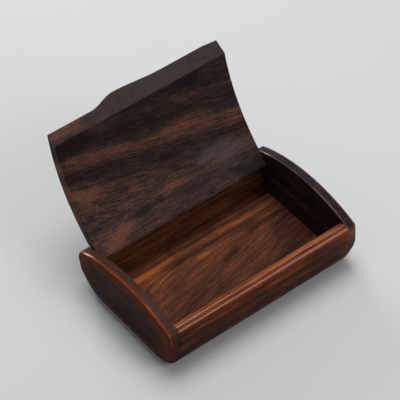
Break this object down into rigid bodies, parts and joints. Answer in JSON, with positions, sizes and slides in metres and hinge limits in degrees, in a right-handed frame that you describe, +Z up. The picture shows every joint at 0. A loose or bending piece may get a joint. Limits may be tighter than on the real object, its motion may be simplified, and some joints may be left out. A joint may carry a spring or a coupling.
{
  "type": "hinged wooden box",
  "caption": "Small hardwood box with thick rounded end panels, bulging sides and an arched lid on hidden pins, shown open.",
  "frame": {"origin": "centre of the flat underside of the box body, without the lid", "axes": "+X to the right along the box's length, +Y from the front to the hinged back, +Z up"},
  "size_m": [0.166, 0.1503, 0.1143],
  "materials": {
    "end_wood": "dark rosewood, oiled and polished on its rounded rim",
    "rail_wood": "reddish rosewood with dark streaks, polished",
    "floor_wood": "orange-brown rosewood with dark streaks, satin",
    "lid_wood": "dark rosewood with orange streaks, satin",
    "dowel_wood": "plain pale dowel rod, unfinished",
    "pin_brass": "drawn brass rod"
  },
  "bodies": {
    "case": {"left_end_panel": "end_wood", "right_end_panel": "end_wood", "front_rail": "rail_wood", "back_rail": "rail_wood", "bottom_board": "floor_wood", "left_pivot_pin": "pin_brass", "right_pivot_pin": "pin_brass", "left_front_lower_dowel": "dowel_wood", "left_front_upper_dowel": "dowel_wood", "left_back_lower_dowel": "dowel_wood", "left_back_upper_dowel": "dowel_wood", "right_front_lower_dowel": "dowel_wood", "right_front_upper_dowel": "dowel_wood", "right_back_lower_dowel": "dowel_wood", "right_back_upper_dowel": "dowel_wood"},
    "lid_body": {"lid": "lid_wood"}
  },
  "joints": [
    {"name": "lid_hinge", "type": "hinge", "parent": "case", "child": "lid_body", "pos_m": [0, 0.0446, 0.03557], "axis": [-1, 0, 0], "range_deg": [-119.8, 45]}
  ]
}
